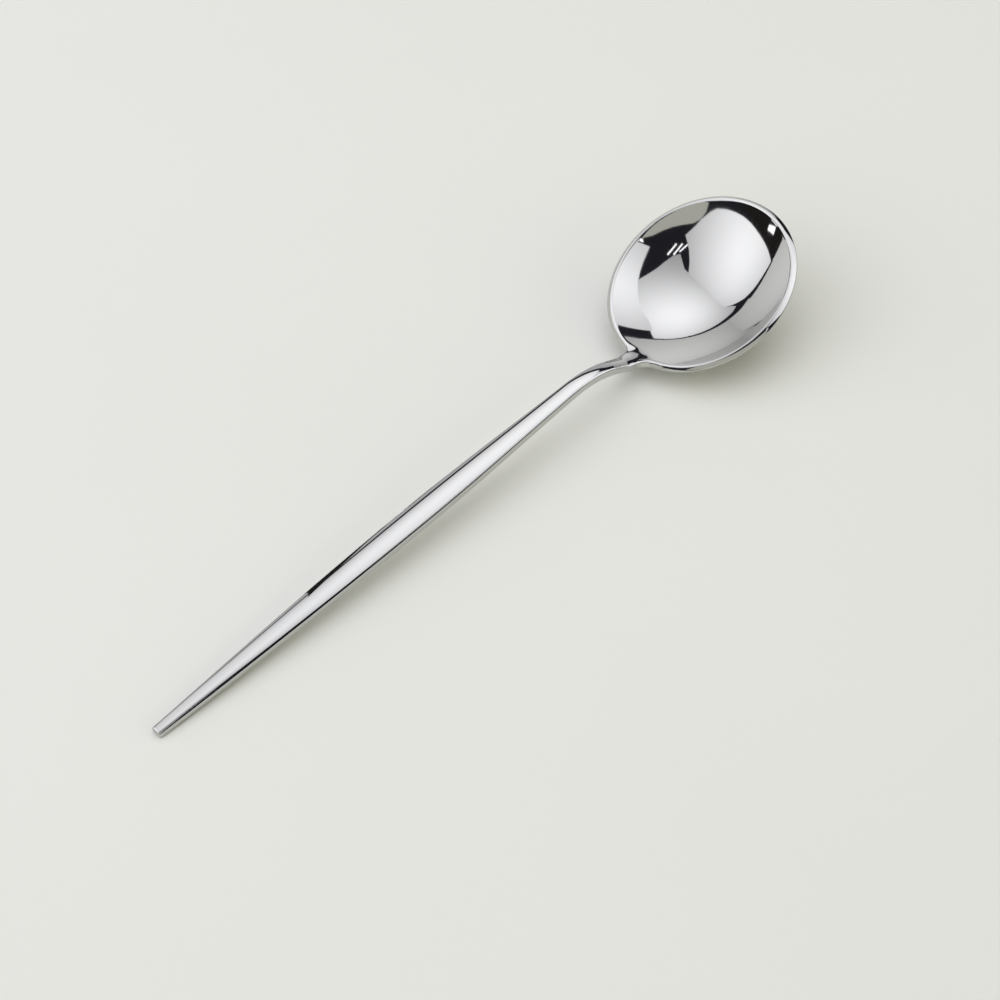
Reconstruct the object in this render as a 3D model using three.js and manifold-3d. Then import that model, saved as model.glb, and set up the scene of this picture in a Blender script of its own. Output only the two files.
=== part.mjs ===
// A polished steel table spoon: a nearly round pressed bowl, welded at the neck to a slim forged handle.
// Millimetres, +Z up. The spoon lies at rest on its belly and its handle's end, with the bowl towards +X.
// The origin is on the table, under the middle of the spoon's length.

import * as THREE from "three";
import { LoftGeometry } from "three/addons/geometries/LoftGeometry.js";
import { mergeGeometries, mergeVertices } from "three/addons/utils/BufferGeometryUtils.js";
import Module from "manifold-3d";

// Driving dimensions, in millimetres, and angles in degrees
const SPOON_LENGTH = 210; // handle's end to the front of the rim, along the table
const SHEET = 2.1; // wall of the bowl, and height of the sides of the neck and handle
const EDGE_ROUND = 0.4; // polished radius along the rim and the handle's edges

const BOWL_LENGTH = 50.8; // inside the rim
const BOWL_WIDTH = 47.1; // inside the rim
const BOWL_DEPTH = 12.5; // below the plane of the rim
const BOWL_TILT = 21.8; // plane of the rim against the table, front up
const WALL_ANGLE = 47; // wall against the plane of the rim, at the widest place
const REST_FLAT = 0.1; // depth of the small flat polished under the belly

const NECK_WIDTH = 4.2; // narrowest place of the neck
const NECK_ROOT_WIDTH = 5; // where the corners to the rim start
const NECK_FILLET = 4; // corner between the neck and the rim
const NECK_BLEND = 4; // half of the length over which the neck's top runs out into the hollow
const NECK_SINK = 1.55; // underside of the neck, below the back of the rim's outer edge
const NECK_DROP = 26; // slope of the neck down to the bowl
const NECK_STRAIGHT = 10; // straight stretch between the rim and the crest
const NECK_CROWN = 0.4; // rise of the neck's top between its edges
const CREST_RADIUS = 28; // bend between the neck and the handle, on the underside

const MIDDLE_WIDTH = 7.4; // widest place of the handle
const MIDDLE_CROWN = 1; // rise of the handle's top between its edges, there
const MIDDLE_FROM_END = 84; // handle's end to its widest place
const END_WIDTH = 3.3;
const END_CROWN = 0.45;
const END_SIDE = 1.5; // height of the handle's sides at its end
const CROWN_POWER = 3; // curve of the crown from the neck to the middle: a higher power has rounder shoulders
const END_CROWN_POWER = 4;

const WELD_FROM_RIM = 7; // back of the rim to the weld
const WELD_LENGTH = 2;

// How finely the curves are divided
const RIM_STEPS = 30; // half of the rim, front to fillet
const FILLET_STEPS = 6;
const STUB_STEPS = 4; // side of the neck stub
const BOWL_RINGS = 12; // middle of the bowl to its rim
const CROWN_STEPS = 8; // across the top of the neck and handle
const HANDLE_STEPS = 44;

const STEEL = { color: 0xd3d5d7, metalness: 1, roughness: 0.07 };

const { PI, abs, asin, atan2, cos, hypot, max, min, sin, sqrt, tan } = Math;
const rad = THREE.MathUtils.degToRad;
const { lerp, smoothstep } = THREE.MathUtils;

// Sizes worked out from the driving dimensions
const tilt = rad(BOWL_TILT);
const drop = rad(NECK_DROP);
const halfLength = BOWL_LENGTH / 2;
const halfWidth = BOWL_WIDTH / 2;
const rimRise = tan(rad(WALL_ANGLE)) * (halfWidth / BOWL_DEPTH);
const roundShare = 2 - rimRise / 2; // share of the bowl's depth with the round profile, the rest is steeper

/** Height of the bowl's inside over the plane of the rim, and its normal, at a point of that plane. */
function bowlInside(X, Y) {
  const q = (X / halfLength) ** 2 + (Y / halfWidth) ** 2;
  const steepness = 2 * BOWL_DEPTH * (roundShare + 2 * (1 - roundShare) * q);
  return {
    height: BOWL_DEPTH * (roundShare * q + (1 - roundShare) * q * q - 1),
    normal: new THREE.Vector3(
      (-steepness * X) / halfLength ** 2,
      (-steepness * Y) / halfWidth ** 2,
      1,
    ).normalize(),
  };
}

// The rim's frame lies in the plane of the rim. Until the end its centre stays over x = 0.
const rimFrame = new THREE.Matrix4().makeRotationY(-tilt);

/** The bowl's outside under a point of the rim's plane, in the spoon's frame. */
function outsideOf(X, Y) {
  const { height, normal } = bowlInside(X, Y);
  return new THREE.Vector3(X, Y, height).addScaledVector(normal, -SHEET).applyMatrix4(rimFrame);
}

// The frame is lifted so that the belly's lowest point is under the table by the depth of its flat.
const LOWEST_TRIES = 400;
let lowest = Infinity;
for (let i = 0; i <= LOWEST_TRIES; i++) {
  lowest = min(lowest, outsideOf(lerp(-halfLength, halfLength, i / LOWEST_TRIES), 0).z);
}
const rimHeight = -lowest - REST_FLAT;
rimFrame.setPosition(0, 0, rimHeight);

/** A point of the rim's frame, in the spoon's frame. */
const fromRim = (X, Y, Z) => new THREE.Vector3(X, Y, Z).applyMatrix4(rimFrame);

// Where the rim's outer edge is at the back and at the front
const backEdge = outsideOf(-halfLength, 0);
const frontCorner = outsideOf(halfLength, 0);
const frontRound = roundedCorner(
  frontCorner.clone().lerp(fromRim(halfLength, 0, 0), EDGE_ROUND / SHEET),
  frontCorner,
  outsideOf(halfLength - EDGE_ROUND, 0),
);
const frontX = max(...frontRound.map(({ x }) => x));
const endX = frontX - SPOON_LENGTH;
const footX = endX + EDGE_ROUND; // where the handle's end touches the table
const middleX = endX + MIDDLE_FROM_END;
const weldFrontX = backEdge.x - WELD_FROM_RIM;
const weldBackX = weldFrontX - WELD_LENGTH;

// The underside's side view: a straight rise from the table, the crest's arc and the straight neck.
const neckStart = new THREE.Vector2(-cos(drop), sin(drop))
  .multiplyScalar(NECK_STRAIGHT)
  .add(new THREE.Vector2(backEdge.x, backEdge.z - NECK_SINK));
const crest = new THREE.Vector2(-sin(drop), -cos(drop)).multiplyScalar(CREST_RADIUS).add(neckStart);
const crestReach = hypot(crest.x - footX, crest.y);
const rise = atan2(crest.y, crest.x - footX) + asin(CREST_RADIUS / crestReach);
const riseEndX = footX + sqrt(crestReach ** 2 - CREST_RADIUS ** 2) * cos(rise);

/** Height and slope of the underside at a place along the handle and neck. */
function underside(x) {
  if (x < riseEndX) return { z: (x - footX) * tan(rise), slope: tan(rise) };
  if (x > neckStart.x) return { z: neckStart.y - (x - neckStart.x) * tan(drop), slope: -tan(drop) };
  const up = sqrt(CREST_RADIUS ** 2 - (x - crest.x) ** 2);
  return { z: crest.y + up, slope: -(x - crest.x) / up };
}

/** A size that eases from the handle's end to its middle and on to the neck. */
function along(x, atEnd, atMiddle, atNeck) {
  if (x < middleX) {
    return lerp(atEnd, atMiddle, sin((PI / 2) * ((x - endX) / MIDDLE_FROM_END)));
  }
  return lerp(atMiddle, atNeck, (1 - cos(PI * min(1, (x - middleX) / (weldBackX - middleX)))) / 2);
}

/** The bar of the handle and neck at one place: its half width, crown, bottom and height of its sides. */
function bar(x) {
  const { z, slope } = underside(x);
  return {
    half: along(x, END_WIDTH, MIDDLE_WIDTH, NECK_WIDTH) / 2,
    crown: along(x, END_CROWN, MIDDLE_CROWN, NECK_CROWN),
    power: along(x, END_CROWN_POWER, CROWN_POWER, CROWN_POWER),
    bottom: z,
    side: along(x, END_SIDE, SHEET, SHEET) * hypot(1, slope),
  };
}

/** Height of the bar's crowned top. */
function barTop(x, y) {
  const { half, crown, power, bottom, side } = bar(x);
  return bottom + side + crown * max(0, 1 - abs(y / half) ** power);
}

/** The three points that round a corner, from inward along one face to inward along the other. */
function roundedCorner(start, corner, end) {
  const ROUND_MIDDLE = 1 - sqrt(0.5);
  const middle = corner
    .clone()
    .addScaledVector(start.clone().sub(corner), ROUND_MIDDLE)
    .addScaledVector(end.clone().sub(corner), ROUND_MIDDLE);
  return [start, middle, end];
}

/** The bar's outline at one place, from its +Y side over the top. An inset makes it smaller all round. */
function barSection(x, inset = 0) {
  const INSET_SHARPENS = 0.75; // an outline that is set in has tighter corners
  const { half, bottom, side } = bar(x);
  const round = EDGE_ROUND - INSET_SHARPENS * inset;
  const h = half - inset;
  const low = bottom + inset;
  const high = bottom + side - inset;
  const at = (y, z) => new THREE.Vector3(x, y, z);
  const top = (y) => at(y, barTop(x, y) - inset);
  const inner = h - round;
  const rightTop = roundedCorner(at(h, high - round), at(h, high), top(inner));
  const leftTop = roundedCorner(top(-inner), at(-h, high), at(-h, high - round));
  const crownPoints = [];
  for (let i = 1; i < CROWN_STEPS; i++) crownPoints.push(top(lerp(inner, -inner, i / CROWN_STEPS)));
  const leftBottom = roundedCorner(at(-h, low + round), at(-h, low), at(-inner, low));
  const rightBottom = roundedCorner(at(inner, low), at(h, low), at(h, low + round));
  return [...rightTop, ...crownPoints, ...leftTop, ...leftBottom, at(0, low), ...rightBottom];
}

/** How far a point of the rim's plane belongs to the neck: 0 in the bowl, 1 on the neck. */
function neckShare(X, Y) {
  const back = 1 - smoothstep(X, -halfLength - NECK_BLEND, -halfLength + NECK_BLEND);
  const half = NECK_ROOT_WIDTH / 2;
  return back * (1 - smoothstep(abs(Y), half, half + 1.5 * NECK_FILLET));
}

/** The point of the rim's plane under a place on the neck's top. */
function underNeck(x, y) {
  return new THREE.Vector2(x * cos(tilt) + (barTop(x, y) - rimHeight) * sin(tilt), y);
}

/** The place along the neck whose top lies over a point of the rim's plane. */
function placeOnNeck(X, Y) {
  const HALVINGS = 40;
  let low = weldBackX - SHEET;
  let high = 0;
  for (let i = 0; i < HALVINGS; i++) {
    const x = (low + high) / 2;
    if (underNeck(x, Y).x < X) low = x;
    else high = x;
  }
  return (low + high) / 2;
}

/** The upper and lower face of the bowl and neck, at a point of the rim's plane. */
function sheetAt(X, Y) {
  const top = fromRim(X, Y, bowlInside(X, Y).height);
  const bottom = outsideOf(X, Y);
  const share = neckShare(X, Y);
  if (share > 0) {
    const x = placeOnNeck(X, Y);
    top.lerp(new THREE.Vector3(x, Y, barTop(x, Y)), share);
    bottom.lerp(new THREE.Vector3(x, Y, bar(x).bottom), share);
  }
  return { top, bottom };
}

/** A point of the hollow's edge, by its angle from the back. */
const onRim = (angle) => new THREE.Vector2(-halfLength * cos(angle), halfWidth * sin(angle));

/** The direction out of the hollow at a point of its edge. */
const outOfRim = (angle) => new THREE.Vector2(-cos(angle) / halfLength, sin(angle) / halfWidth).normalize();

// The corner between the rim and the neck, on the +Y side
const rootSide = NECK_ROOT_WIDTH / 2;
const filletAngle = angleOfFillet();
const filletCentre = onRim(filletAngle).addScaledVector(outOfRim(filletAngle), NECK_FILLET);

/** The angle from the back at which the fillet leaves the rim. */
function angleOfFillet() {
  const HALVINGS = 40;
  let low = 0;
  let high = PI / 2;
  for (let i = 0; i < HALVINGS; i++) {
    const angle = (low + high) / 2;
    if (onRim(angle).y + NECK_FILLET * outOfRim(angle).y < rootSide + NECK_FILLET) low = angle;
    else high = angle;
  }
  return high;
}

/** A place on the outline: its edge, where its rounding starts, and the spoke of the bowl that leads to it. */
function outlinePlace(edge, inward, spokeAngle) {
  return { edge, rounded: edge.clone().addScaledVector(inward, EDGE_ROUND), spoke: onRim(spokeAngle) };
}

/** Half of the bowl's outline in the rim's plane, from the front round the rim and the fillet to the neck. */
function halfOutline() {
  const outline = [];
  for (let i = 0; i <= RIM_STEPS; i++) {
    const angle = lerp(PI, filletAngle, i / RIM_STEPS);
    outline.push(outlinePlace(onRim(angle), outOfRim(angle).negate(), angle));
  }
  const firstAngle = outOfRim(filletAngle).negate().angle() - 2 * PI;
  for (let i = 1; i <= FILLET_STEPS; i++) {
    const angle = lerp(firstAngle, -PI / 2, i / FILLET_STEPS);
    const inward = new THREE.Vector2(cos(angle), sin(angle));
    const edge = filletCentre.clone().addScaledVector(inward, NECK_FILLET);
    outline.push(outlinePlace(edge, inward, lerp(filletAngle, gateAngle(1), i / FILLET_STEPS)));
  }
  return outline;
}

/** The angle from the back of the spoke that leads to a place across the neck, 0 at its middle. */
function gateAngle(across) {
  return asin((across * rootSide) / hypot(filletCentre.x, rootSide));
}

/** A place on the outline, or beside the neck, on the other side of the spoon. */
function mirrored({ edge, rounded, spoke }) {
  const [flippedEdge, flippedRounded, flippedSpoke] = [edge, rounded, spoke].map(
    ({ x, y }) => new THREE.Vector2(x, -y),
  );
  return { edge: flippedEdge, rounded: flippedRounded, spoke: flippedSpoke };
}

/** The points round an edge of the sheet, from the start of its rounding above to the end of it below. */
function roundEdge({ edge, rounded }) {
  const { top, bottom } = sheetAt(edge.x, edge.y);
  const start = sheetAt(rounded.x, rounded.y);
  const down = bottom.clone().sub(top).normalize().multiplyScalar(EDGE_ROUND);
  return [
    ...roundedCorner(start.top, top, top.clone().add(down)),
    ...roundedCorner(bottom.clone().sub(down), bottom, start.bottom),
  ];
}

/** The sheet's upper and lower face from the middle of the bowl along one spoke to the end of it. */
function spokeFaces({ rounded, spoke }) {
  const faces = [];
  for (let i = 0; i <= BOWL_RINGS; i++) {
    const outwards = i / BOWL_RINGS;
    const place = spoke.clone().lerp(rounded, outwards ** 4).multiplyScalar(outwards);
    faces.push(sheetAt(place.x, place.y));
  }
  return { upper: faces.map(({ top }) => top), lower: faces.map(({ bottom }) => bottom) };
}

/** One line of the bowl's skin: from the middle of the inside, round the rim, to the middle of the outside. */
function skinLine(place) {
  const { upper, lower } = spokeFaces(place);
  return [...upper.slice(0, -1), ...roundEdge(place), ...lower.slice(0, -1).reverse()];
}

/** One loop round the neck, through its two sides and places between them across its top and underside. */
function neckLoop(side, between) {
  const faces = between.map(({ x, y }) => sheetAt(x, y));
  const under = faces.map(({ bottom }) => bottom);
  const over = faces.map(({ top }) => top).reverse();
  return [...roundEdge(side), ...under, ...roundEdge(mirrored(side)).reverse(), ...over];
}

/** The loops of the neck stub, from the end of the fillets to the weld. */
function neckLoops(firstSide, gate) {
  const loops = [neckLoop(firstSide, gate)];
  const filletX = placeOnNeck(filletCentre.x, rootSide);
  for (let i = 1; i <= STUB_STEPS; i++) {
    const x = lerp(filletX, weldFrontX, i / STUB_STEPS);
    const half = lerp(rootSide, NECK_WIDTH / 2, smoothstep(i / STUB_STEPS, 0, 1));
    const inner = half - EDGE_ROUND;
    const rounded = underNeck(x, inner);
    const side = { edge: underNeck(x, half), rounded, spoke: rounded };
    loops.push(neckLoop(side, across((share) => underNeck(x, share * inner))));
  }
  return loops;
}

/** Makes one thing for each step across the neck, between its sides, from the +Y side. */
function across(make) {
  const made = [];
  for (let i = 1; i < CROWN_STEPS; i++) made.push(make(lerp(1, -1, i / CROWN_STEPS)));
  return made;
}

const wasm = await Module();
wasm.setup();

/** A closed geometry as a solid that can be cut. */
function solidOf(geometry) {
  const bare = new THREE.BufferGeometry().setAttribute("position", geometry.attributes.position);
  bare.setIndex(geometry.index);
  const merged = mergeVertices(bare, 1e-5);
  const corners = [];
  for (let i = 0; i < merged.index.count; i += 3) {
    const [a, b, c] = merged.index.array.slice(i, i + 3);
    if (a !== b && b !== c && c !== a) corners.push(a, b, c);
  }
  const mesh = new wasm.Mesh({
    numProp: 3,
    vertProperties: merged.attributes.position.array,
    triVerts: new Uint32Array(corners),
  });
  return new wasm.Manifold(mesh);
}

/** A solid's surface as a geometry. */
function geometryOf(solid) {
  const { vertProperties, triVerts } = solid.getMesh();
  const geometry = new THREE.BufferGeometry();
  geometry.setAttribute("position", new THREE.BufferAttribute(vertProperties, 3));
  geometry.setIndex(new THREE.BufferAttribute(triVerts, 1));
  geometry.computeVertexNormals();
  return geometry;
}

/** The bowl with its neck stub, and the flat under its belly. */
function bowlGeometry() {
  const half = halfOutline();
  const corner = half.at(-1);
  const outline = [...half.slice(1).reverse().map(mirrored), ...half];
  const gate = across((share) => ({
    rounded: new THREE.Vector2(corner.rounded.x, share * corner.rounded.y),
    spoke: onRim(share * gateAngle(1)),
  }));
  const fan = [corner, ...gate, mirrored(corner)].map(spokeFaces);
  const loops = neckLoops(corner, gate.map(({ rounded }) => rounded));
  const skin = mergeGeometries([
    new LoftGeometry(outline.map(skinLine), { closed: false }),
    new LoftGeometry(fan.map(({ upper }) => upper), { closed: false }),
    new LoftGeometry(fan.map(({ lower }) => lower.reverse()), { closed: false }),
    new LoftGeometry(loops, { capEnd: true }),
  ]);
  const table = new THREE.BoxGeometry(SPOON_LENGTH, SPOON_LENGTH, BOWL_DEPTH);
  table.translate(0, 0, -BOWL_DEPTH / 2);
  return geometryOf(solidOf(skin).subtract(solidOf(table)));
}

/** The slice of weld metal, ground flush with the neck. */
function weldGeometry() {
  const sections = [weldBackX, (weldBackX + weldFrontX) / 2, weldFrontX].map((x) => barSection(x));
  return new LoftGeometry(sections, { capStart: true, capEnd: true });
}

/** The handle, from its square-cut end to the weld. */
function handleGeometry() {
  const ROUND_MIDDLE = 1 - sqrt(0.5);
  const sections = [
    barSection(endX, EDGE_ROUND),
    barSection(endX + ROUND_MIDDLE * EDGE_ROUND, ROUND_MIDDLE * EDGE_ROUND),
  ];
  for (let i = 0; i <= HANDLE_STEPS; i++) {
    sections.push(barSection(lerp(endX + EDGE_ROUND, weldBackX, i / HANDLE_STEPS)));
  }
  return new LoftGeometry(sections, { capStart: true, capEnd: true });
}

const spoon = new THREE.Group();
spoon.position.x = SPOON_LENGTH / 2 - frontX;

/** Adds one named piece of polished steel to the spoon. */
function addPiece(name, geometry) {
  const piece = new THREE.Mesh(geometry, new THREE.MeshStandardMaterial(STEEL));
  piece.name = name;
  spoon.add(piece);
}

addPiece("bowl", bowlGeometry());
addPiece("neck_weld", weldGeometry());
addPiece("handle", handleGeometry());

export default spoon;
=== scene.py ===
"""Looks of a polished steel table spoon that lies on its belly and on the end of its handle.

Every piece is made as a flat blank with a rounded edge, and is then pressed or forged to its shape.
Sizes are in millimetres and degrees up to the finished mesh, which is in metres.
"""

import logging
import math
from dataclasses import dataclass
from enum import Enum
from functools import cached_property
from typing import Any, Mapping, NamedTuple, Sequence

import bmesh
import bpy
from bmesh.types import BMEdge, BMesh, BMVert
from bpy.types import Material, Object
from mathutils import Matrix, Vector


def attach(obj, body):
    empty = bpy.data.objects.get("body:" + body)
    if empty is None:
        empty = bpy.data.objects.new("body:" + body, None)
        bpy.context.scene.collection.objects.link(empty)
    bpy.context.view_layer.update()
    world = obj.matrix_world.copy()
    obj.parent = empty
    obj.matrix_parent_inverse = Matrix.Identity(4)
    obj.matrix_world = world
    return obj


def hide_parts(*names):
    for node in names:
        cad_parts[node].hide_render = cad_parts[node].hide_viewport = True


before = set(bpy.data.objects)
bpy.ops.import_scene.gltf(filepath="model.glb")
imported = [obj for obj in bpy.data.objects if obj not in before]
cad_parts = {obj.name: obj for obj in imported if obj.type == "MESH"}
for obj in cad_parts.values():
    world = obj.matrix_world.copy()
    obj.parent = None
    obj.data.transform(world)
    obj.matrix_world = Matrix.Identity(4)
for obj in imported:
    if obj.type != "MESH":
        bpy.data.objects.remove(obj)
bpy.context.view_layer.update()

LOG = logging.getLogger("spoon")
MILLIMETRE = 0.001

Tint = tuple[float, float, float]
Spot = tuple[float, float]


def mix(start: float, end: float, share: float) -> float:
    """A number between two others."""
    return start + (end - start) * share


def ease(value: float, start: float, end: float) -> float:
    """Rises smoothly from 0 at start to 1 at end."""
    share = min(1.0, max(0.0, (value - start) / (end - start)))
    return share * share * (3.0 - 2.0 * share)


def ramp(value: float, start: float, end: float, soft: float) -> float:
    """Rises evenly from 0 at start to 1 at end, with soft ends.

    Args:
        value: the place that is asked for.
        start: where the rise starts.
        end: where the rise ends.
        soft: share of the rise that each soft end takes.

    Returns:
        The height at that place.
    """
    share = min(1.0, max(0.0, (value - start) / (end - start)))
    near = min(share, 1 - share)
    if near < soft:
        low = near * near / (2 * soft * (1 - soft))
    else:
        low = (near - soft / 2) / (1 - soft)
    return low if share < 0.5 else 1 - low


def extruded(bm: BMesh, edges: Sequence[BMEdge]) -> list[BMVert]:
    """Extrudes edges and returns the new vertices."""
    made = bmesh.ops.extrude_edge_only(bm, edges=edges)
    return [part for part in made["geom"] if isinstance(part, BMVert)]


def to_object(bm: BMesh, name: str, finish: Material) -> Object:
    """Turns a finished bmesh into an object of the scene.

    Args:
        bm: the mesh, in metres. It is used up.
        name: the object's name.
        finish: its material.

    Returns:
        The object.
    """
    mesh = bpy.data.meshes.new(name)
    bm.to_mesh(mesh)
    bm.free()
    mesh.materials.append(finish)
    made = bpy.data.objects.new(name, mesh)
    bpy.context.scene.collection.objects.link(made)
    return made


class Slot(Enum):
    """The record's material slots."""

    STEEL = "polished_steel"


class Cut(Enum):
    """How a blank ends where it is cut across."""

    SHARP = "butted against the next piece"
    ROUNDED = "free and rounded like the other edges"


class Link:
    """A node's output that can be used in arithmetic."""

    def __init__(self, graph: "Graph", socket: bpy.types.NodeSocket) -> None:
        """Wraps an output of a node in a graph."""
        self.graph = graph
        self.socket = socket

    def _join(self, operation: str, first: "Link | float", second: "Link | float") -> "Link":
        """Adds a Math node and returns its result."""
        return self.graph.node("ShaderNodeMath", {"operation": operation}, {0: first, 1: second})

    def __add__(self, other: "Link | float") -> "Link":
        """Sum."""
        return self._join("ADD", self, other)

    __radd__ = __add__

    def __sub__(self, other: "Link | float") -> "Link":
        """Difference."""
        return self._join("SUBTRACT", self, other)

    def __rsub__(self, other: float) -> "Link":
        """Difference from a number."""
        return self._join("SUBTRACT", other, self)

    def __mul__(self, other: "Link | float") -> "Link":
        """Product."""
        return self._join("MULTIPLY", self, other)

    __rmul__ = __mul__


class Graph:
    """The node tree of one material."""

    def __init__(self, name: str) -> None:
        """Starts a material with an empty node tree."""
        self.material = bpy.data.materials.new(name)
        self.material.use_nodes = True
        self.tree = self.material.node_tree
        self.tree.nodes.clear()

    def node(
        self,
        kind: str,
        settings: Mapping[str, Any] | None = None,
        sockets: Mapping[int | str, Any] | None = None,
        output: int | str = 0,
    ) -> Link:
        """Makes any node.

        Args:
            kind: the node's type.
            settings: its own settings, set first. A list of stops sets its colour ramp.
            sockets: values or links for its inputs, by name or number.
            output: the output that is wanted.

        Returns:
            That output as a link.
        """
        made = self.tree.nodes.new(kind)
        for key, value in (settings or {}).items():
            if key == "stops":
                self._set_stops(made.color_ramp, value)
            else:
                setattr(made, key, value)
        for key, value in (sockets or {}).items():
            if isinstance(value, Link):
                self.tree.links.new(value.socket, made.inputs[key])
            else:
                made.inputs[key].default_value = value
        return Link(self, made.outputs[output] if made.outputs else made.inputs[0])

    @staticmethod
    def _set_stops(colours: bpy.types.ColorRamp, stops: Sequence[tuple[float, float]]) -> None:
        """Gives a colour ramp its grey stops.

        Args:
            colours: the colour ramp.
            stops: the stops, as places and levels.
        """
        while len(colours.elements) < len(stops):
            colours.elements.new(1.0)
        for element, (place, level) in zip(colours.elements, stops):
            element.position = place
            element.color = (level, level, level, 1.0)

    def blend(self, share: Link, start: Tint, end: Tint) -> Link:
        """A colour between two tints."""
        tints = {0: share, 6: (*start, 1.0), 7: (*end, 1.0)}
        return self.node("ShaderNodeMix", {"data_type": "RGBA"}, tints, output=2)

    def finish(self, surface: Link) -> Material:
        """Connects the surface to the output and returns the material."""
        self.node("ShaderNodeOutputMaterial", {}, {"Surface": surface})
        return self.material


@dataclass(frozen=True)
class PolishedSteel:
    """Mirror polished stainless steel with faint polishing lines and handling smears."""

    light_tint: Tint = (0.575, 0.573, 0.555)
    dark_tint: Tint = (0.55, 0.548, 0.532)
    tint_scale: float = 34.0
    tint_detail: float = 3.0
    roughness: float = 0.035
    smear_roughness: float = 0.03
    smear_scale: float = 55.0
    smear_detail: float = 4.0
    smear_start: float = 0.45
    smear_end: float = 0.75
    line_roughness: float = 0.02
    lines_along: float = 25.0
    lines_across: float = 2600.0
    line_detail: float = 2.0
    line_depth: float = 2.0e-7
    wave_scale: float = 70.0
    wave_depth: float = 4.0e-6

    def make(self) -> Material:
        """Builds the material.

        Returns:
            The material.
        """
        graph = Graph("polished_steel_look")
        place = graph.node("ShaderNodeTexCoord", output="Object")
        tint = self._noise(graph, place, self.tint_scale, self.tint_detail)
        colour = graph.blend(tint, self.dark_tint, self.light_tint)
        lines = self._polishing_lines(graph, place)
        smear = graph.node(
            "ShaderNodeValToRGB",
            {"stops": ((self.smear_start, 0.0), (self.smear_end, 1.0))},
            {0: self._noise(graph, place, self.smear_scale, self.smear_detail)},
        )
        roughness = self.roughness + smear * self.smear_roughness + lines * self.line_roughness
        wave = self._noise(graph, place, self.wave_scale, 0.0)
        waved = graph.node(
            "ShaderNodeBump", {}, {"Strength": 1.0, "Distance": self.wave_depth, "Height": wave}
        )
        bumped = graph.node(
            "ShaderNodeBump",
            {},
            {"Strength": 1.0, "Distance": self.line_depth, "Height": lines, "Normal": waved},
        )
        steel = graph.node(
            "ShaderNodeBsdfPrincipled",
            {},
            {"Base Color": colour, "Metallic": 1.0, "Roughness": roughness, "Normal": bumped},
        )
        return graph.finish(steel)

    @staticmethod
    def _noise(graph: Graph, place: Link, scale: float, detail: float) -> Link:
        """Cloudy noise over the metal, from 0 to 1."""
        return graph.node(
            "ShaderNodeTexNoise", {}, {"Vector": place, "Scale": scale, "Detail": detail}
        )

    def _polishing_lines(self, graph: Graph, place: Link) -> Link:
        """Fine lines that the polishing wheel leaves along the spoon, from 0 to 1."""
        stretched = graph.node(
            "ShaderNodeMapping",
            {},
            {"Vector": place, "Scale": (self.lines_along, self.lines_across, self.lines_across)},
        )
        return self._noise(graph, stretched, 1.0, self.line_detail)


@dataclass(frozen=True)
class PaleFloor:
    """A plain pale matt floor and backdrop."""

    light_tint: Tint = (0.787, 0.79, 0.74)
    dark_tint: Tint = (0.767, 0.77, 0.72)
    tint_scale: float = 9.0
    roughness: float = 0.6

    def make(self) -> Material:
        """Builds the material.

        Returns:
            The material.
        """
        graph = Graph("pale_floor_look")
        place = graph.node("ShaderNodeTexCoord", output="Object")
        cloud = graph.node("ShaderNodeTexNoise", {}, {"Vector": place, "Scale": self.tint_scale})
        colour = graph.blend(cloud, self.dark_tint, self.light_tint)
        matt = graph.node(
            "ShaderNodeBsdfPrincipled",
            {},
            {"Base Color": colour, "Roughness": self.roughness, "Specular IOR Level": 0.0},
        )
        return graph.finish(matt)


@dataclass(frozen=True)
class Glow:
    """A softly lit panel that is brightest at one place and falls off round it."""

    name: str
    colour: Tint
    strength: float
    brightest: Vector
    reach: float
    fall: float

    def make(self) -> Material:
        """Builds the material.

        Returns:
            The material.
        """
        graph = Graph(self.name)
        place = graph.node("ShaderNodeTexCoord", output="Object")
        away = graph.node(
            "ShaderNodeVectorMath", {"operation": "DISTANCE"}, {0: place, 1: self.brightest}, "Value"
        )
        shade = graph.node(
            "ShaderNodeMapRange",
            {"interpolation_type": "SMOOTHSTEP"},
            {"Value": away, "From Max": self.reach, "To Max": self.fall},
        )
        glow = graph.blend(shade, self.colour, (0.0, 0.0, 0.0))
        light = graph.node(
            "ShaderNodeBsdfPrincipled",
            {},
            {
                "Base Color": (0.0, 0.0, 0.0, 1.0),
                "Roughness": 1.0,
                "Specular IOR Level": 0.0,
                "Emission Color": glow,
                "Emission Strength": self.strength,
            },
        )
        return graph.finish(light)


class Bar(NamedTuple):
    """The handle and neck at one place along the spoon."""

    half: float
    crown: float
    bottom: float
    side: float
    power: float


class Edge(NamedTuple):
    """The blank's outline where a line from the bowl's middle ends."""

    point: Vector
    inward: Vector  # direction into the blank
    spoke: float  # direction in which the line leaves the middle, in radians from the back


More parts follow.
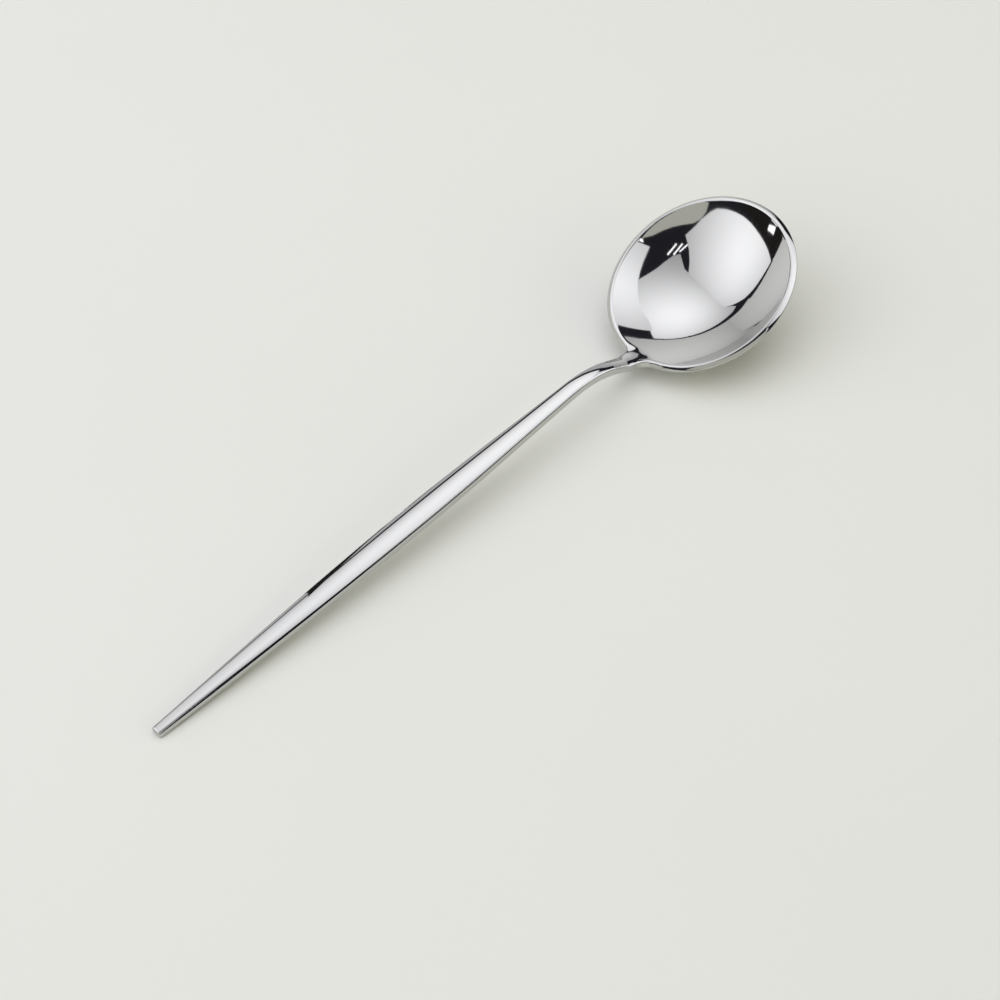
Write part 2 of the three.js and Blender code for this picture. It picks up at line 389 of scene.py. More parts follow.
@dataclass(frozen=True)
class SpoonForm:
    """Sizes of the whole spoon and the faces that follow from them."""

    spoon_length: float = 210.0  # handle's end to the front of the rim, along the table
    sheet: float = 2.1  # wall of the bowl, and height of the sides of the neck and handle
    edge_round: float = 0.4  # polished radius at the rim's front and the handle's foot
    bowl_length: float = 50.8  # inside the rim
    bowl_width: float = 47.1  # inside the rim
    bowl_depth: float = 12.5  # below the plane of the rim
    bowl_tilt: float = 21.8  # plane of the rim against the table, front up
    wall_angle: float = 47.0  # wall against the plane of the rim, at the widest place
    rest_flat: float = 0.1  # depth of the small flat under the belly
    neck_width: float = 4.2  # narrowest place of the neck
    neck_root_width: float = 5.0  # where the corners to the rim start
    neck_fillet: float = 4.0  # radius of those corners
    neck_blend: float = 4.4  # behind the rim, where the neck's top starts to run out
    neck_lip: float = 1.7  # inside the rim, where it has run out into the hollow
    neck_ends: float = 0.12  # soft share at both ends of that run
    neck_curl: float = 0.05  # bend of its start round the rim, times the squared way off the middle
    neck_spread: float = 1.5  # width over which it runs out sideways, in corner radii
    neck_sink: float = 1.55  # underside of the neck, below the back of the rim's outer edge
    neck_drop: float = 26.0  # slope of the neck down to the bowl
    neck_straight: float = 10.0  # straight stretch between the rim and the crest
    neck_crown: float = 0.4  # rise of the neck's top between its edges
    crest_radius: float = 28.0  # bend between the neck and the handle, on the underside
    middle_width: float = 7.4  # widest place of the handle
    middle_crown: float = 1.0  # rise of the handle's top between its edges, there
    middle_from_end: float = 84.0  # handle's end to its widest place
    end_width: float = 3.3
    end_side: float = 1.05  # height of the handle's sides at its end
    end_crown: float = 0.9
    crown_power: float = 2.0  # curve of the crown: a higher power has rounder shoulders
    end_crown_power: float = 4.0
    weld_from_rim: float = 7.0  # back of the rim to the weld
    weld_length: float = 2.0
    search_steps: int = 400
    halvings: int = 40

    @cached_property
    def tilt(self) -> float:
        """Slope of the rim's plane, in radians."""
        return math.radians(self.bowl_tilt)

    @cached_property
    def drop(self) -> float:
        """Slope of the neck, in radians."""
        return math.radians(self.neck_drop)

    @cached_property
    def half_length(self) -> float:
        """Half of the hollow's length."""
        return self.bowl_length / 2

    @cached_property
    def half_width(self) -> float:
        """Half of the hollow's width."""
        return self.bowl_width / 2

    @cached_property
    def round_share(self) -> float:
        """Share of the depth that has the round profile. The rest is steeper at the wall."""
        return 2 - math.tan(math.radians(self.wall_angle)) * self.half_width / self.bowl_depth / 2

    def bowl_inside(self, x: float, y: float) -> tuple[float, Vector]:
        """The hollow's face over a point of the rim's plane.

        Args:
            x: along the rim's plane, from its centre to the front.
            y: across it.

        Returns:
            The height over the rim's plane and the normal.
        """
        q = (x / self.half_length) ** 2 + (y / self.half_width) ** 2
        steep = 2 * self.bowl_depth * (self.round_share + 2 * (1 - self.round_share) * q)
        height = self.bowl_depth * (self.round_share * q + (1 - self.round_share) * q * q - 1)
        normal = Vector((-steep * x / self.half_length**2, -steep * y / self.half_width**2, 1))
        return height, normal.normalized()

    @cached_property
    def rim_height(self) -> float:
        """Height of the rim's centre over the table."""
        turn = Matrix.Rotation(-self.tilt, 3, "Y")
        lowest = 0.0
        for step in range(self.search_steps + 1):
            x = mix(-self.half_length, self.half_length, step / self.search_steps)
            height, normal = self.bowl_inside(x, 0)
            lowest = min(lowest, (turn @ (Vector((x, 0, height)) - self.sheet * normal)).z)
        return -lowest - self.rest_flat

    def from_rim(self, point: Vector) -> Vector:
        """A point of the rim's frame, in the spoon's frame."""
        turned = Matrix.Rotation(-self.tilt, 3, "Y") @ point
        return turned + Vector((0, 0, self.rim_height))

    def outside_of(self, x: float, y: float) -> Vector:
        """The bowl's outside under a point of the rim's plane."""
        height, normal = self.bowl_inside(x, y)
        return self.from_rim(Vector((x, y, height)) - self.sheet * normal)

    @cached_property
    def back_edge(self) -> Vector:
        """Back of the rim's outer edge."""
        return self.outside_of(-self.half_length, 0)

    @cached_property
    def front_x(self) -> float:
        """Front of the rim, with its rounded edge."""
        front = -math.inf
        for step in range(self.search_steps + 1):
            turn = math.pi / 2 * step / self.search_steps
            x = self.half_length - self.edge_round * (1 - math.sin(turn))
            level = self.edge_round * (1 - math.cos(turn)) - self.sheet
            height, normal = self.bowl_inside(x, 0)
            front = max(front, self.from_rim(Vector((x, 0, height)) + level * normal).x)
        return front

    @cached_property
    def end_x(self) -> float:
        """The handle's end."""
        return self.front_x - self.spoon_length

    @cached_property
    def foot_x(self) -> float:
        """Where the handle's end touches the table."""
        return self.end_x + self.edge_round

    @cached_property
    def middle_x(self) -> float:
        """The handle's widest place."""
        return self.end_x + self.middle_from_end

    @cached_property
    def weld_front_x(self) -> float:
        """The weld's face towards the bowl."""
        return self.back_edge.x - self.weld_from_rim

    @cached_property
    def weld_back_x(self) -> float:
        """The weld's face towards the handle."""
        return self.weld_front_x - self.weld_length

    @cached_property
    def neck_start(self) -> Vector:
        """Where the crest's bend runs into the straight neck, in the side view."""
        back = Vector((-math.cos(self.drop), math.sin(self.drop))) * self.neck_straight
        return back + Vector((self.back_edge.x, self.back_edge.z - self.neck_sink))

    @cached_property
    def crest(self) -> Vector:
        """Centre of the crest's bend, in the side view."""
        down = Vector((-math.sin(self.drop), -math.cos(self.drop))) * self.crest_radius
        return self.neck_start + down

    @cached_property
    def crest_reach(self) -> float:
        """Distance from the handle's foot to the centre of the crest's bend."""
        return math.hypot(self.crest.x - self.foot_x, self.crest.y)

    @cached_property
    def rise(self) -> float:
        """Slope of the handle's underside, in radians."""
        return math.atan2(self.crest.y, self.crest.x - self.foot_x) + math.asin(
            self.crest_radius / self.crest_reach
        )

    @cached_property
    def rise_end_x(self) -> float:
        """Where the straight underside runs into the crest's bend."""
        straight = math.sqrt(self.crest_reach**2 - self.crest_radius**2)
        return self.foot_x + straight * math.cos(self.rise)

    def underside(self, x: float) -> tuple[float, float]:
        """The underside of the handle and neck.

        Args:
            x: the place along the spoon.

        Returns:
            The height and the slope there.
        """
        if x < self.rise_end_x:
            return (x - self.foot_x) * math.tan(self.rise), math.tan(self.rise)
        if x > self.neck_start.x:
            fall = math.tan(self.drop)
            return self.neck_start.y - (x - self.neck_start.x) * fall, -fall
        up = math.sqrt(self.crest_radius**2 - (x - self.crest.x) ** 2)
        return self.crest.y + up, -(x - self.crest.x) / up

    def along(self, x: float, at_end: float, at_middle: float, at_neck: float) -> float:
        """A size that eases from the handle's end to its middle and on to the neck.

        Args:
            x: the place along the spoon.
            at_end: the size at the handle's end.
            at_middle: the size at its widest place.
            at_neck: the size at the weld and beyond.

        Returns:
            The size at x.
        """
        if x < self.middle_x:
            share = math.sin(math.pi / 2 * (x - self.end_x) / self.middle_from_end)
            return mix(at_end, at_middle, share)
        share = min(1.0, (x - self.middle_x) / (self.weld_back_x - self.middle_x))
        return mix(at_middle, at_neck, (1 - math.cos(math.pi * share)) / 2)

    def bar(self, x: float) -> Bar:
        """The bar of the handle and neck at one place."""
        bottom, slope = self.underside(x)
        return Bar(
            half=self.along(x, self.end_width, self.middle_width, self.neck_width) / 2,
            crown=self.along(x, self.end_crown, self.middle_crown, self.neck_crown),
            bottom=bottom,
            side=self.along(x, self.end_side, self.sheet, self.sheet) * math.hypot(1, slope),
            power=self.along(x, self.end_crown_power, self.crown_power, self.crown_power),
        )

    def bar_top(self, x: float, y: float) -> float:
        """Height of the bar's crowned top."""
        half, crown, bottom, side, power = self.bar(x)
        return bottom + side + crown * max(0.0, 1 - abs(y / half) ** power)

    def neck_share(self, x: float, y: float) -> float:
        """How far a point belongs to the neck.

        Args:
            x: along the rim's plane, from its centre to the front.
            y: across it.

        Returns:
            The neck's share, from 0 to 1.
        """
        start = -self.half_length - self.neck_blend - self.neck_curl * y * y
        back = 1 - ramp(x, start, -self.half_length + self.neck_lip, self.neck_ends)
        half = self.neck_root_width / 2
        return back * (1 - ease(abs(y), half, half + self.neck_spread * self.neck_fillet))

    def under_neck(self, x: float, y: float) -> Vector:
        """The point of the rim's plane under a place on the neck's top."""
        lift = self.bar_top(x, y) - self.rim_height
        return Vector((x * math.cos(self.tilt) + lift * math.sin(self.tilt), y))

    def place_on_neck(self, x: float, y: float) -> float:
        """The place along the neck whose top lies over a point of the rim's plane.

        Args:
            x: along the rim's plane, from its centre to the front.
            y: across it.

        Returns:
            The place along the spoon.
        """
        low, high = self.weld_back_x - self.sheet, 0.0
        for _ in range(self.halvings):
            middle = (low + high) / 2
            if self.under_neck(middle, y).x < x:
                low = middle
            else:
                high = middle
        return (low + high) / 2

    def pressed(self, blank: Vector) -> Vector:
        """Where a point of the bowl's blank goes when it is pressed.

        Args:
            blank: a point of the flat blank, whose top is at 0 and whose underside is at -sheet.

        Returns:
            The point in the spoon's frame.
        """
        x, y, level = blank
        height, normal = self.bowl_inside(x, y)
        point = self.from_rim(Vector((x, y, height)) + level * normal)
        share = self.neck_share(x, y)
        if share > 0:
            place = self.place_on_neck(x, y)
            top, bottom = self.bar_top(place, y), self.bar(place).bottom
            point = point.lerp(Vector((place, y, mix(top, bottom, -level / self.sheet))), share)
        return point

    def forged(self, blank: Vector) -> Vector:
        """Where a point of the bar's blank goes when it is forged.

        Args:
            blank: a point of the flat blank, whose top is at 0 and whose underside is at -sheet.

        Returns:
            The point in the spoon's frame.
        """
        x, y, level = blank
        top, bottom = self.bar_top(x, y), self.bar(x).bottom
        return Vector((x, y, mix(top, bottom, -level / self.sheet)))


@dataclass(frozen=True)
class SteelPiece:
    """What the three steel pieces share: a flat blank that is thickened, rounded and shaped."""

    form: SpoonForm
    finish: Material
    band: float = 0.8  # width of the strip of faces along the blank's edge
    polished_round: float = 0.5  # how far the rounding reaches from an edge
    round_segments: int = 6
    edge_turn: float = 40.0  # in degrees: edges that turn more are rounded
    reach: float = 1e-4  # how near a point counts as being at a place
    cut_reach: float = 0.2  # the same at a cut, after shaping

    def thicken(self, bm: BMesh) -> None:
        """Gives a flat blank its thickness, downwards from its top face.

        Args:
            bm: the flat blank.
        """
        made = bmesh.ops.extrude_face_region(bm, geom=bm.faces[:], use_keep_orig=True)
        lower = [part for part in made["geom"] if isinstance(part, BMVert)]
        bmesh.ops.translate(bm, verts=lower, vec=(0, 0, -self.form.sheet))
        bmesh.ops.recalc_face_normals(bm, faces=bm.faces[:])

    def round_edges(self, bm: BMesh, kept: set[BMEdge]) -> None:
        """Rounds the blank's edges, except those of a butted cut.

        Args:
            bm: the thick blank.
            kept: edges that stay sharp.
        """
        turned = [
            edge
            for edge in bm.edges
            if edge not in kept and edge.calc_face_angle(0.0) > math.radians(self.edge_turn)
        ]
        bmesh.ops.bevel(
            bm,
            geom=turned,
            offset=self.polished_round,
            offset_type="OFFSET",
            affect="EDGES",
            segments=self.round_segments,
            profile=0.5,
            material=-1,
            clamp_overlap=False,
        )

    def sharpen_cut(self, bm: BMesh, x: float) -> None:
        """Makes a cut across the spoon flat, and keeps the shading crisp round it.

        Args:
            bm: the shaped piece.
            x: place of the cut along the spoon.
        """
        cut = {vert for vert in bm.verts if abs(vert.co.x - x) < self.cut_reach}
        for vert in cut:
            vert.co.x = x
        for face in bm.faces:
            if cut.issuperset(face.verts):
                face.smooth = False
                for edge in face.edges:
                    edge.smooth = False

    def deliver(self, bm: BMesh, name: str, node: str) -> Object:
        """Turns a shaped piece into a finished object that stands for a node.

        Args:
            bm: the shaped piece, in millimetres, with the rim's centre over the origin.
            name: the object's name.
            node: the node that it replaces.

        Returns:
            The object.
        """
        bmesh.ops.recalc_face_normals(bm, faces=bm.faces[:])
        shift = self.form.spoon_length / 2 - self.form.front_x
        bmesh.ops.translate(bm, verts=bm.verts[:], vec=(shift, 0, 0))
        bmesh.ops.scale(bm, verts=bm.verts[:], vec=(MILLIMETRE,) * 3)
        piece = to_object(bm, name, self.finish)
        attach(piece, "root")
        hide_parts(node)
        LOG.info("%s: %d faces", name, len(piece.data.polygons))
        return piece


@dataclass(frozen=True)
class PressedBowl(SteelPiece):
    """The round bowl with its neck stub, pressed from sheet."""

    gate_lines: int = 8  # lines from the middle to half of the neck's gate
    fillet_lines: int = 14  # to the corner between neck and rim
    rim_lines: int = 65  # to half of the rim, corner to front
    rings: int = 30
    crowding: float = 1.6  # how much closer the rings lie towards the rim
    stub_rows: int = 10
    gate_fan: float = 5.0  # degrees over which half of the gate's lines leave the middle
    spoke_bend: int = 4  # how late a line turns from its own direction to its place on the outline

    @cached_property
    def lines(self) -> int:
        """Number of lines that run out from the bowl's middle."""
        return 2 * (self.gate_lines + self.fillet_lines + self.rim_lines)

    def on_rim(self, angle: float) -> Vector:
        """A point of the hollow's edge, by its angle from the back."""
        return Vector((-self.form.half_length * math.cos(angle), self.form.half_width * math.sin(angle)))

    def rim_outward(self, angle: float) -> Vector:
        """Direction out of the hollow at a point of its edge."""
        across = math.sin(angle) / self.form.half_width
        return Vector((-math.cos(angle) / self.form.half_length, across)).normalized()

    @cached_property
    def fillet_angle(self) -> float:
        """Angle from the back at which the corner to the neck leaves the rim."""
        reach = self.form.neck_root_width / 2 + self.form.neck_fillet
        low, high = 0.0, math.pi / 2
        for _ in range(self.form.halvings):
            angle = (low + high) / 2
            if self.on_rim(angle).y + self.form.neck_fillet * self.rim_outward(angle).y < reach:
                low = angle
            else:
                high = angle
        return high

    @cached_property
    def fillet_centre(self) -> Vector:
        """Centre of the corner between rim and neck, on the +Y side."""
        start = self.on_rim(self.fillet_angle)
        return start + self.form.neck_fillet * self.rim_outward(self.fillet_angle)

    def half_edge(self, line: int) -> Edge:
        """The blank's outline where a line of the +Y half ends.

        Args:
            line: 0 at the middle of the neck, counted round to the front.

        Returns:
            The outline there. On the neck's gate it is the gate itself.
        """
        fan = math.radians(self.gate_fan)
        if line <= self.gate_lines:
            inner = self.form.neck_root_width / 2 - self.band
            point = Vector((self.fillet_centre.x, inner * line / self.gate_lines))
            spoke = fan * line / self.gate_lines
            return Edge(point + Vector((0, self.band)), Vector((0, -1)), spoke)
        on_fillet = line - self.gate_lines
        if on_fillet <= self.fillet_lines:
            share = on_fillet / self.fillet_lines
            outward = -self.rim_outward(self.fillet_angle)
            angle = mix(-math.pi / 2, math.atan2(outward.y, outward.x), share)
            inward = Vector((math.cos(angle), math.sin(angle)))
            point = self.fillet_centre + self.form.neck_fillet * inward
            return Edge(point, inward, mix(fan, self.fillet_angle, share))
        share = (on_fillet - self.fillet_lines) / self.rim_lines
        angle = mix(self.fillet_angle, math.pi, share)
        return Edge(self.on_rim(angle), -self.rim_outward(angle), angle)

    def halved(self, line: int) -> tuple[int, int]:
        """A line's number in its half, and its side: 1 for +Y, -1 for -Y."""
        return (line, 1) if line <= self.lines // 2 else (self.lines - line, -1)

    def on_blank(self, line: int, ring: int) -> Vector:
        """Where a ring crosses a line, on the flat blank.

        Args:
            line: the line's number.
            ring: the ring's number, from the middle out.

        Returns:
            The point.
        """
        number, side = self.halved(line)
        edge = self.half_edge(number)
        out = 1 - (1 - ring / self.rings) ** self.crowding
        end = edge.point + edge.inward * self.band
        point = self.on_rim(edge.spoke).lerp(end, out**self.spoke_bend) * out
        return Vector((point.x, side * point.y, 0))

    def on_stub(self, line: int, row: int) -> Vector:
        """Where a row crosses a line of the neck stub, on the flat blank.

        Args:
            line: the line's number.
            row: the row's number, from the gate to the cut.

        Returns:
            The point.
        """
        number, side = self.halved(line)
        share = row / self.stub_rows
        root = self.form.neck_root_width / 2
        start = self.form.place_on_neck(self.fillet_centre.x, root)
        half = mix(root, self.form.neck_width / 2, ease(share, 0, 1))
        y = (half - self.band) * number / self.gate_lines
        point = self.form.under_neck(mix(start, self.form.weld_front_x, share), y)
        return Vector((point.x, side * point.y, 0))

    def outward(self, line: int, row: int) -> Vector:
        """Direction out of the blank along its edge.

        Args:
            line: the line's number.
            row: the row's number on the stub, or 0 at the end of a line.

        Returns:
            The direction.
        """
        number, side = self.halved(line)
        inward = Vector((0, -1)) if row else self.half_edge(number).inward
        return Vector((-inward.x, -side * inward.y, 0))

    def lay_blank(self) -> BMesh:
        """Lays out the flat blank: rings round the bowl's middle, the neck stub, and a band along the edge.

        Returns:
            The blank, without thickness.
        """
        bm = bmesh.new()
        line = bm.verts.layers.int.new("line")
        row = bm.verts.layers.int.new("row")
        self.lay_rings(bm)
        cut = self.grow_stub(bm)
        border = [edge for edge in bm.edges if edge.is_boundary and edge not in cut]
        for vert in extruded(bm, border):
            vert.co += self.band * self.outward(vert[line], vert[row])
        return bm

    def lay_rings(self, bm: BMesh) -> None:
        """Lays the rings round the bowl's middle, from the inside out.

        Args:
            bm: the empty blank, with its layers.
        """
        line = bm.verts.layers.int["line"]
        bmesh.ops.create_circle(bm, cap_ends=True, cap_tris=True, segments=self.lines, radius=1)
        around = [vert for vert in bm.verts if vert.is_boundary]
        around.sort(key=lambda vert: math.atan2(vert.co.y, -vert.co.x) % math.tau)
        for number, vert in enumerate(around):
            vert[line] = number
            vert.co = self.on_blank(number, 1)
        for ring in range(2, self.rings + 1):
            border = [edge for edge in bm.edges if edge.is_boundary]
            for vert in extruded(bm, border):
                vert.co = self.on_blank(vert[line], ring)

    def grow_stub(self, bm: BMesh) -> set[BMEdge]:
        """Grows the neck stub out of its gate in the outermost ring.

        Args:
            bm: the blank with its rings.

        Returns:
            The edges of the cut at the stub's end.
        """
        line, row = bm.verts.layers.int["line"], bm.verts.layers.int["row"]
        gate = [
            edge
            for edge in bm.edges
            if edge.is_boundary and all(self.halved(v[line])[0] <= self.gate_lines for v in edge.verts)
        ]
        for number in range(1, self.stub_rows + 1):
            grown = set(extruded(bm, gate))
            for vert in grown:
                vert[row] = number
                vert.co = self.on_stub(vert[line], number)
            gate = [edge for edge in bm.edges if grown.issuperset(edge.verts)]
        return set(gate)

    def build(self) -> Object:
        """Makes the bowl.

        Returns:
            The finished object.
        """
        bm = self.lay_blank()
        row = bm.verts.layers.int["row"]
        self.thicken(bm)
        kept = {
            edge for edge in bm.edges if all(vert[row] == self.stub_rows for vert in edge.verts)
        }
        self.round_edges(bm, kept)
        for vert in bm.verts:
            vert.co = self.form.pressed(vert.co)
        for face in bm.faces:
            face.smooth = True
        self.sharpen_cut(bm, self.form.weld_front_x)
        self.flatten_belly(bm)
        return self.deliver(bm, "pressed_bowl", "bowl")

    def flatten_belly(self, bm: BMesh) -> None:
        """Cuts the small flat on which the belly rests.

        Args:
            bm: the pressed bowl.
        """
        cut = bmesh.ops.bisect_plane(
            bm,
            geom=[*bm.verts, *bm.edges, *bm.faces],
            dist=self.reach,
            plane_co=(0, 0, 0),
            plane_no=(0, 0, -1),
            clear_outer=True,
        )
        border = [part for part in cut["geom_cut"] if isinstance(part, BMEdge)]
        bmesh.ops.contextual_create(bm, geom=border)
        for edge in border:
            edge.smooth = False


@dataclass(frozen=True)
class BarPiece(SteelPiece):
    """What the weld and the handle share: a bar that is laid out along the spoon."""

    across: int = 10

    def on_cut(self, edge: BMEdge, cuts: Sequence[float]) -> bool:
        """Whether an edge of the blank lies in one of its cuts."""
        return any(all(abs(v.co.x - cut) < self.reach for v in edge.verts) for cut in cuts)

    def lay_blank(self, back: float, front: float, steps: int, end: Cut) -> BMesh:
        """Lays out a bar's flat blank with a band along its edge.

        Args:
            back: the end towards the handle's end, along the spoon.
            front: the end towards the bowl.
            steps: divisions along the bar.
            end: how the bar ends at the back.

        Returns:
            The blank, without thickness.
        """
        start = back if end is Cut.SHARP else back + self.band
        bm = bmesh.new()
        bmesh.ops.create_grid(bm, x_segments=steps, y_segments=self.across, size=1)
        for vert in bm.verts:
            x = mix(start, front, (vert.co.x + 1) / 2)
            vert.co = Vector((x, vert.co.y * (self.form.bar(x).half - self.band), 0))
        cuts = (front,) if end is Cut.ROUNDED else (back, front)
        border = [edge for edge in bm.edges if edge.is_boundary and not self.on_cut(edge, cuts)]
        for vert in extruded(bm, border):
            x, y = vert.co.xy
            if end is Cut.ROUNDED and abs(x - start) < self.reach:
                vert.co.x = back
            if abs(abs(y) - self.form.bar(x).half + self.band) < self.reach:
                vert.co.y = math.copysign(self.form.bar(vert.co.x).half, y)
        return bm

    def shape(self, bm: BMesh, cuts: Sequence[float]) -> None:
        """Thickens, rounds and forges a blank.

        Args:
            bm: the flat blank.
            cuts: the places of its butted cuts along the spoon.
        """
        self.thicken(bm)
        self.round_edges(bm, {edge for edge in bm.edges if self.on_cut(edge, cuts)})
        for vert in bm.verts:
            vert.co = self.form.forged(vert.co)
        for face in bm.faces:
            face.smooth = True
        for cut in cuts:
            self.sharpen_cut(bm, cut)


@dataclass(frozen=True)
class GroundWeld(BarPiece):
    """The slice of weld metal, ground flush with the neck."""

    steps: int = 4

    def build(self) -> Object:
        """Makes the weld.

        Returns:
            The finished object.
        """
        cuts = (self.form.weld_back_x, self.form.weld_front_x)
        bm = self.lay_blank(*cuts, self.steps, Cut.SHARP)
        self.shape(bm, cuts)
        return self.deliver(bm, "ground_weld", "neck_weld")


@dataclass(frozen=True)
class ForgedHandle(BarPiece):
    """The slim crowned handle, from its square-cut end to the weld."""

    steps: int = 110

    def build(self) -> Object:
        """Makes the handle.

        Returns:
            The finished object.
        """
        bm = self.lay_blank(self.form.end_x, self.form.weld_back_x, self.steps, Cut.ROUNDED)
        self.shape(bm, (self.form.weld_back_x,))
        return self.deliver(bm, "forged_handle", "handle")


class Cast(Enum):
    """What a panel does."""

    LIGHT = "lights the floor and is mirrored"
    MIRRORED = "is only mirrored"
    FILL = "only lights the floor"


@dataclass(frozen=True)
class Panel:
    """A lit panel of the studio, by the directions of its corners seen from the bowl.

    A direction is given in degrees off the vertical, split into a part to the camera's right and a
    part away from the camera.
    """

    name: str
    corners: tuple[Spot, ...]
    strength: float
    brightest: Spot = (0.0, 0.0)
    reach: float = 90.0  # degrees from the brightest place to the end of the fall
    fall: float = 0.0  # share of the light that is lost over them
    colour: Tint = (0.985, 0.99, 1.035)
    distance: float = 1.4  # metres
    seen_from: tuple[float, float, float] = (0.08, 0.0, 0.015)  # where the directions start, in metres
    cast: Cast = Cast.LIGHT


# The border that the left and the top panel share
SEAM: tuple[Spot, ...] = ((-34, 35), (-29, 22), (-25, 10), (-20, -2), (-14, -11), (-8, -19), (-3.5, -26))
CARD_STRENGTH = 0.61
CARD_DISTANCE = 1.5
LAMP_STRENGTH = 2.2
LAMP_DISTANCE = 1.3
FRONT_OF_RIM = (0.0953, -0.0097, 0.017)


def lamp(name: str, *corners: Spot) -> Panel:
    """A small bright lamp."""
    return Panel(name, corners, LAMP_STRENGTH, distance=LAMP_DISTANCE)


@dataclass(frozen=True)
class Studio:
    """The camera, the floor and the soft light round the spoon."""

    form: SpoonForm
    spoon_turn: float = 38.927  # the spoon's length against the camera's right
    end_place: tuple[float, float] = (-85.71, -61.279)  # the handle's end: right of the aim, and away
    camera_distance: float = 601.187  # to the aim on the floor
    camera_elevation: float = 48.537
    camera_roll: float = -6.178
    camera_clip: float = 0.01  # metres, as are the sizes of the floor, wall and flag
    lens: float = 86.4
    sensor: float = 36.0
    floor_radius: float = 5.0
    floor_drop: float = 0.00005  # keeps the floor just clear of the belly's flat
    wall_radius: float = 3.2
    wall_height: float = 0.75
    flag_radius: float = 1.7
    flag_height: float = 0.45
    round_steps: int = 64
    gap_colour: Tint = (0.02, 0.02, 0.027)
    panels: tuple[Panel, ...] = (
        Panel(
            "left_panel",
            (*SEAM, (-6.5, -36), (-8, -46), (-7, -56), (-20, -60), (-28, -62), (-40, -62), (-48, -60),
             (-59, -53), (-68, -44), (-75, -34), (-81, -20), (-84, -6), (-85, 10), (-83, 28),
             (-79, 41), (-70, 42.5), (-60, 44.5), (-52, 44.5), (-42, 40)),
            strength=1.64,
            brightest=(-65, -10),
            fall=0.6,
        ),
        Panel(
            "top_panel",
            (*reversed(SEAM), (-40, 40), (-43, 45), (-38, 50), (-20, 55.5), (0, 57.5), (15, 57), (25.5, 55),
             (27.5, 50), (30.3, 40), (33.2, 30), (37.6, 20), (40, 10), (41, 0), (41.3, -9), (39, -14),
             (33, -21), (26, -28), (18, -35.5), (10, -41), (2, -43), (1, -36), (0, -30)),
            strength=1.66,
            brightest=(12, 24),
            reach=75.0,
            fall=0.68,
        ),
        Panel(
            "right_panel",
            ((31, 40), (34, 30), (38.5, 20), (41, 10), (42, 0), (42, -9), (40, -20), (37.5, -28),
             (34, -36), (30.5, -42.5), (37, -42), (43, -40), (54, -35), (72, -25), (80, 0), (74, 35),
             (58, 40), (47, 42.5), (30, 44.5)),
            strength=1.58,
            brightest=(58, 0),
            reach=50.0,
            fall=0.36,
            distance=0.4,
            seen_from=(0.068, 0.0136, 0.018),
            cast=Cast.MIRRORED,
        ),
        Panel(
            "south_card",
            ((-42, -68), (-35, -63.8), (-27, -62.2), (-18, -61.8), (-5, -62), (5, -60.5), (15, -57),
             (25, -51.5), (33, -47), (37, -47), (44, -55), (50, -72), (25, -84), (0, -88), (-30, -83),
             (-50, -73)),
            strength=CARD_STRENGTH,
            colour=(1.0, 1.0, 0.92),
            distance=CARD_DISTANCE,
        ),
        Panel(
            "north_card",
            ((-63, 63), (-35, 82), (0, 89), (35, 82), (40, 64), (30, 61), (0, 68), (-30, 61), (-53, 50)),
            strength=CARD_STRENGTH,
            distance=CARD_DISTANCE,
        ),
        lamp("first_stripe", (15, -41.7), (14.3, -40.9), (3.7, -49.9), (4.4, -50.7)),
        lamp("second_stripe", (9.3, -42.4), (8.6, -41.6), (-2.5, -50), (-1.8, -50.8)),
        lamp("third_stripe", (2.6, -45), (2.2, -44.2), (-7.5, -49), (-7.1, -49.8)),
        lamp("south_lamp", (32.5, -46.5), (36, -46), (35.5, -44), (33, -44.5)),
        Panel(
            "fill_card",
            ((25, -50), (50, -62), (75, -45), (86, -10), (80, 30), (60, 25), (55, 0), (45, -25)),
            strength=1.5,
            colour=(1.0, 0.98, 0.7),
            distance=CARD_DISTANCE,
            cast=Cast.FILL,
        ),
        Panel(
            "west_flag",
            ((-79.5, 42), (-83, 28), (-85, 10), (-84, -6), (-81, -20), (-77, -30), (-88, -41), (-97, 0),
             (-86, 46)),
            strength=0.02,
            colour=(1.0, 0.85, 0.85),
            distance=0.15,
            seen_from=FRONT_OF_RIM,
            cast=Cast.MIRRORED,
        ),
        Panel(
            "west_lamp",
            ((-90.5, 24), (-88, 25), (-88, 13), (-91.5, 12)),
            strength=LAMP_STRENGTH,
            distance=0.14,
            seen_from=FRONT_OF_RIM,
            cast=Cast.MIRRORED,
        ),
    )

    def to_spoon(self, vector: Vector) -> Vector:
        """A direction of the camera's floor frame, in the spoon's frame."""
        return Matrix.Rotation(-math.radians(self.spoon_turn), 3, "Z") @ vector

    def set_camera(self) -> None:
        """Puts the camera where the picture was taken from."""
        rise = math.radians(self.camera_elevation)
        roll = math.radians(self.camera_roll)
        back = Vector((0, -math.cos(rise), math.sin(rise)))
        right, up = Vector((1, 0, 0)), Vector((0, math.sin(rise), math.cos(rise)))
        turned_right = math.cos(roll) * right + math.sin(roll) * up
        turned_up = -math.sin(roll) * right + math.cos(roll) * up
        place = back * self.camera_distance - Vector((*self.end_place, 0))
        place = self.to_spoon(place) - Vector((self.form.spoon_length / 2, 0, 0))
        data = bpy.data.cameras.new("camera")
        data.lens = self.lens
        data.sensor_width = self.sensor
        data.clip_start = self.camera_clip
        camera = bpy.data.objects.new("camera", data)
        axes = Matrix([self.to_spoon(axis) for axis in (turned_right, turned_up, back)]).transposed()
        camera.matrix_world = Matrix.Translation(place * MILLIMETRE) @ axes.to_4x4()
        bpy.context.scene.collection.objects.link(camera)
        bpy.context.scene.camera = camera

